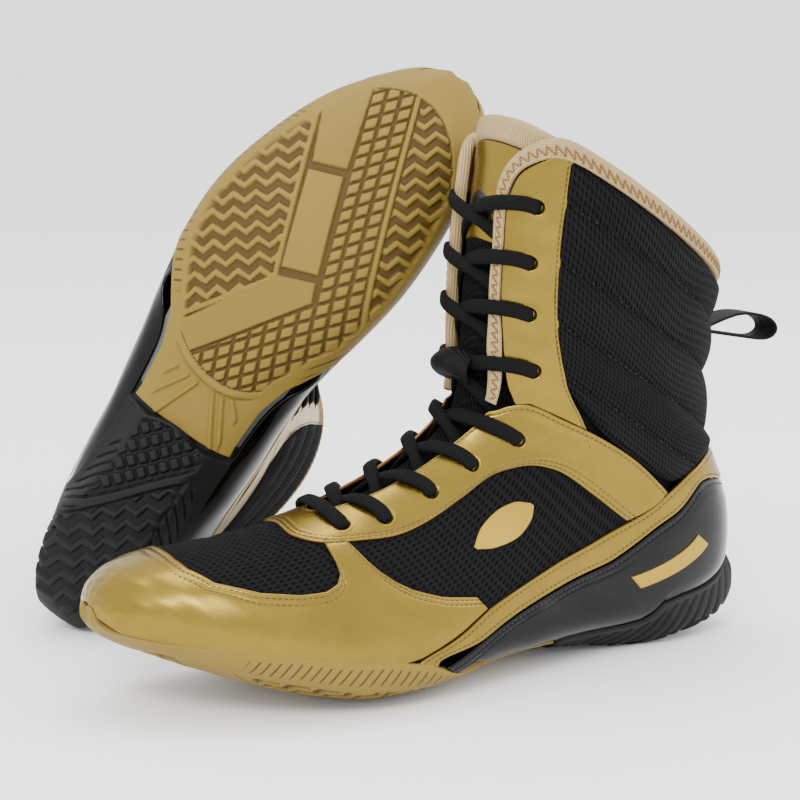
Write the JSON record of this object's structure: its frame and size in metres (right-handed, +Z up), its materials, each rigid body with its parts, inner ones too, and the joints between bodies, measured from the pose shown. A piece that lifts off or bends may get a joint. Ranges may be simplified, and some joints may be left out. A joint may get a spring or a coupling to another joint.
{
  "type": "boxing boots",
  "caption": "Laced high-top boxing boots with mesh vamp and quarters, coated overlays, quilted shaft, rubber outsole and heel cup, standing and lying down",
  "frame": {"origin": "centre of the base of the pair's bounding box, on the floor", "axes": "+Z up; the left boot stands upright with its toe toward -X and its lateral side toward -Y; the right boot lies behind it on its heel and collar"},
  "size_m": [0.3162, 0.3254, 0.2444],
  "materials": {
    "gold_leather": "metallic coated, fine grain",
    "black_mesh": "knitted air mesh",
    "black_patent": "high gloss patent",
    "gold_rubber": "satin, fine moulded texture",
    "black_rubber": "matte moulded",
    "beige_elastic": "ribbed woven elastic",
    "black_webbing": "woven webbing",
    "black_lace": "braided",
    "black_lining": "brushed knit",
    "grey_foam": "open-cell foam",
    "stiffener_board": "pressed board",
    "cream_mark": "raised print"
  },
  "bodies": {
    "left_boot": {"outsole_left": "gold_rubber", "heel_cup_left": "black_rubber", "midsole_left": "grey_foam", "sockliner_left": "black_lining", "toe_cap_left": "gold_leather", "vamp_mesh_left": "black_mesh", "lace_saddle_left": "gold_leather", "quarter_mesh_lateral_left": "black_mesh", "quarter_mesh_medial_left": "black_mesh", "heel_band_left": "gold_leather", "heel_counter_left": "black_patent", "counter_stiffener_left": "stiffener_board", "toe_puff_left": "stiffener_board", "shaft_panel_left": "black_mesh", "shaft_padding_left": "grey_foam", "lining_foot_left": "black_lining", "lining_shaft_left": "black_lining", "lining_quarter_lateral_left": "black_lining", "lining_quarter_medial_left": "black_lining", "facing_lateral_left": "gold_leather", "facing_medial_left": "gold_leather", "collar_binding_left": "beige_elastic", "tongue_left": "black_mesh", "tongue_top_left": "gold_leather", "tongue_binding_left": "beige_elastic", "lace_keeper_left": "black_webbing", "lace_left": "black_lace", "badge_left": "cream_mark", "counter_mark_left": "cream_mark"},
    "right_boot": {"outsole_right": "gold_rubber", "heel_cup_right": "black_rubber", "midsole_right": "grey_foam", "sockliner_right": "black_lining", "toe_cap_right": "gold_leather", "vamp_mesh_right": "black_mesh", "lace_saddle_right": "gold_leather", "quarter_mesh_lateral_right": "black_mesh", "quarter_mesh_medial_right": "black_mesh", "heel_band_right": "gold_leather", "heel_counter_right": "black_patent", "counter_stiffener_right": "stiffener_board", "toe_puff_right": "stiffener_board", "shaft_panel_right": "black_mesh", "shaft_padding_right": "grey_foam", "lining_foot_right": "black_lining", "lining_shaft_right": "black_lining", "lining_quarter_lateral_right": "black_lining", "lining_quarter_medial_right": "black_lining", "facing_lateral_right": "gold_leather", "facing_medial_right": "gold_leather", "collar_binding_right": "beige_elastic", "tongue_right": "black_mesh", "tongue_top_right": "gold_leather", "tongue_binding_right": "beige_elastic", "lace_keeper_right": "black_webbing", "lace_right": "black_lace", "badge_right": "cream_mark", "counter_mark_right": "cream_mark"},
    "left_pull_loop": {"pull_loop_left": "black_webbing"},
    "right_pull_loop": {"pull_loop_right": "black_webbing"}
  },
  "joints": [
    {"name": "right_boot_lift", "type": "slide", "parent": "left_boot", "child": "right_boot", "axis": [0, 0, 1], "range_m": [0, 0.3]},
    {"name": "left_pull_loop_swing", "type": "hinge", "parent": "left_boot", "child": "left_pull_loop", "pos_m": [0.11811, -0.11306, 0.1329], "axis": [0, -1, 0], "range_deg": [-50, 50]},
    {"name": "right_pull_loop_swing", "type": "hinge", "parent": "right_boot", "child": "right_pull_loop", "pos_m": [-0.06244, 0.0984, 0.01082], "axis": [0.6617, -0.4967, -0.5616], "range_deg": [0, 6]}
  ]
}
